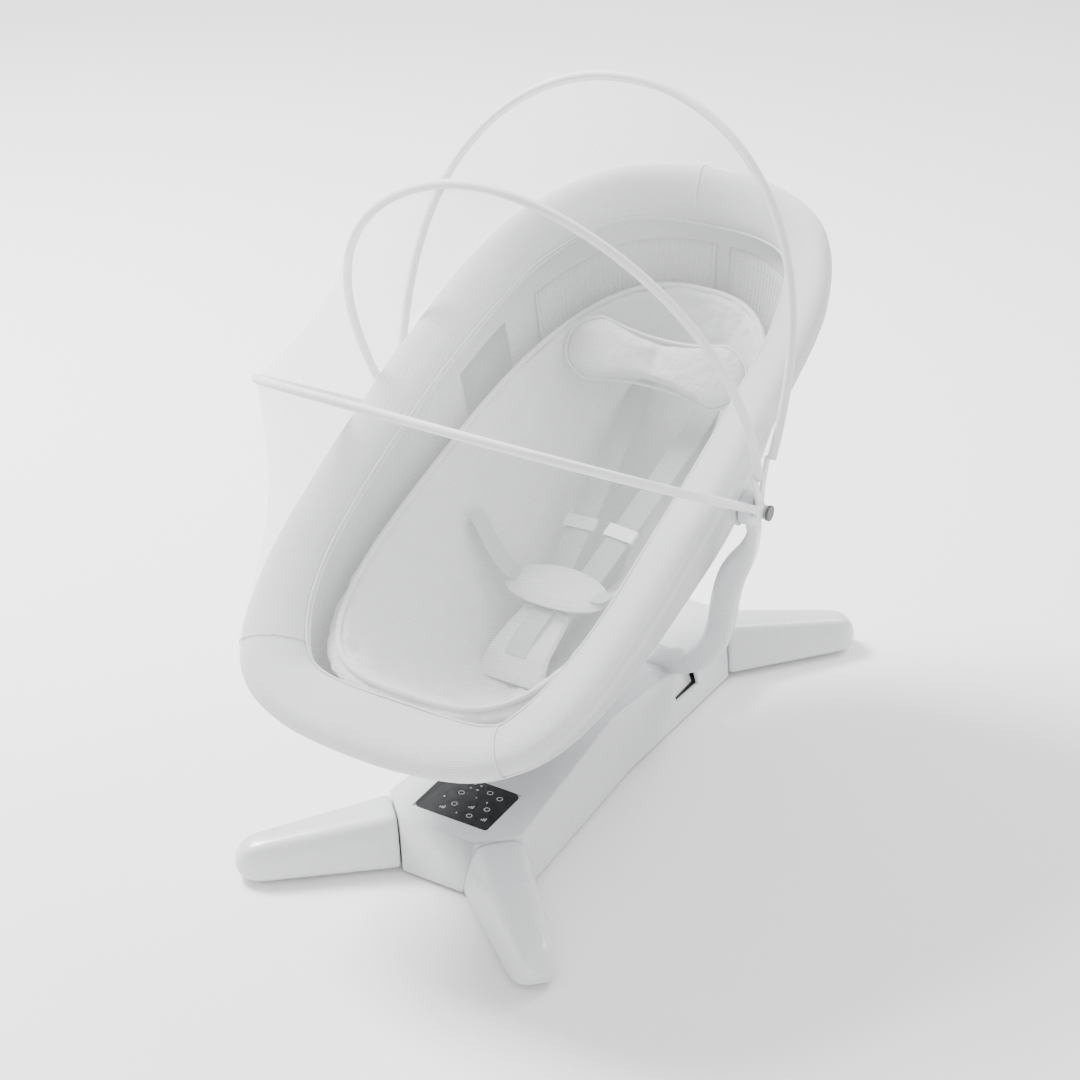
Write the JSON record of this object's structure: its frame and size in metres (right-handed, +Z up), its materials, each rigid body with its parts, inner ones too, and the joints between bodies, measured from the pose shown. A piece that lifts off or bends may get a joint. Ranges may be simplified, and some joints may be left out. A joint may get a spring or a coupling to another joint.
{
  "type": "baby swing",
  "caption": "Electric baby swing: low four-legged base, side-to-side yoke, reclining padded bowl seat with harness, and a folding net hood on hoops.",
  "frame": {"origin": "on the floor under the middle of the whole object", "axes": "+Z up, +Y towards the head end, +X to the right as seen from the foot end"},
  "size_m": [0.4596, 0.7615, 0.7391],
  "materials": {
    "shell": "glossy white moulded plastic",
    "panel_glass": "gloss black touch panel",
    "rubber": "matte grey rubber",
    "steel": "zinc plated",
    "frame_paint": "satin light grey paint",
    "circuit": "green circuit board",
    "dark_plastic": "dark grey plastic",
    "rim_fabric": "smooth light knit over foam",
    "bowl_fabric": "light woven polyester",
    "pad_fabric": "soft white cotton",
    "webbing": "pale grey-green webbing",
    "net": "sheer white net",
    "hoop": "white sleeve over a sprung rod"
  },
  "bodies": {
    "base": {"base_shell": "shell", "base_cover": "shell", "front_left_leg": "shell", "front_right_leg": "shell", "rear_left_leg": "shell", "rear_right_leg": "shell", "foot_pads": "rubber", "leg_screws": "steel", "cover_screws": "steel", "touch_panel": "panel_glass", "panel_board": "circuit", "control_board": "circuit", "speaker": "dark_plastic", "bearing_blocks": "dark_plastic", "drive_motor": "steel", "motor_bracket": "steel", "power_inlet": "dark_plastic"},
    "pinion": {"drive_pinion": "dark_plastic"},
    "yoke": {"yoke": "shell", "swing_shaft": "steel", "sector_gear": "dark_plastic"},
    "seat": {"rim_tube": "frame_paint", "rim_padding": "rim_fabric", "left_bracket": "frame_paint", "right_bracket": "frame_paint", "pivot_pins": "steel", "pivot_caps": "dark_plastic", "bowl": "bowl_fabric", "mattress": "pad_fabric", "seat_board": "shell", "belly_pad": "pad_fabric", "crotch_pad": "pad_fabric", "buckle": "shell", "left_shoulder_strap": "webbing", "right_shoulder_strap": "webbing", "left_waist_strap": "webbing", "right_waist_strap": "webbing", "strap_adjusters": "shell", "head_pillow": "pad_fabric"},
    "button": {"buckle_button": "dark_plastic"},
    "rear_hoop": {"rear_hoop": "hoop", "rear_hoop_ends": "hoop", "net_rear": "net"},
    "middle_hoop": {"middle_hoop": "hoop", "middle_hoop_ends": "hoop", "net_middle": "net"},
    "front_hoop": {"front_hoop": "hoop", "front_hoop_ends": "hoop"}
  },
  "joints": [
    {"name": "swing", "type": "hinge", "parent": "base", "child": "yoke", "pos_m": [0, 0.1556, 0.036], "axis": [0, 1, 0], "range_deg": [-8, 8]},
    {"name": "pinion_spin", "type": "hinge", "parent": "base", "child": "pinion", "pos_m": [-0.03, 0.195, 0.036], "axis": [0, 1, 0], "range_deg": [-25, 25]},
    {"name": "recline", "type": "hinge", "parent": "yoke", "child": "seat", "pos_m": [0, 0.0266, 0.361], "axis": [-1, 0, 0], "range_deg": [0, 12]},
    {"name": "hood_rear", "type": "hinge", "parent": "seat", "child": "rear_hoop", "pos_m": [0, 0.0266, 0.361], "axis": [-1, 0, 0], "range_deg": [0, 29]},
    {"name": "hood_middle", "type": "hinge", "parent": "rear_hoop", "child": "middle_hoop", "pos_m": [0, 0.0266, 0.361], "axis": [-1, 0, 0], "range_deg": [0, 32], "deforming": ["net_rear"]},
    {"name": "hood_front", "type": "hinge", "parent": "middle_hoop", "child": "front_hoop", "pos_m": [0, 0.0266, 0.361], "axis": [-1, 0, 0], "range_deg": [0, 24.5], "deforming": ["net_middle"]},
    {"name": "buckle_press", "type": "slide", "parent": "seat", "child": "button", "axis": [0, 0.196, -0.9806], "range_m": [0, 0.0025], "stiffness_N_per_m": 400}
  ],
  "couplings": [
    {"joint": "pinion_spin", "follows": "swing", "ratio": -3},
    {"joint": "hood_middle", "follows": "hood_rear", "ratio": 1.103},
    {"joint": "hood_front", "follows": "hood_rear", "ratio": 0.844}
  ]
}
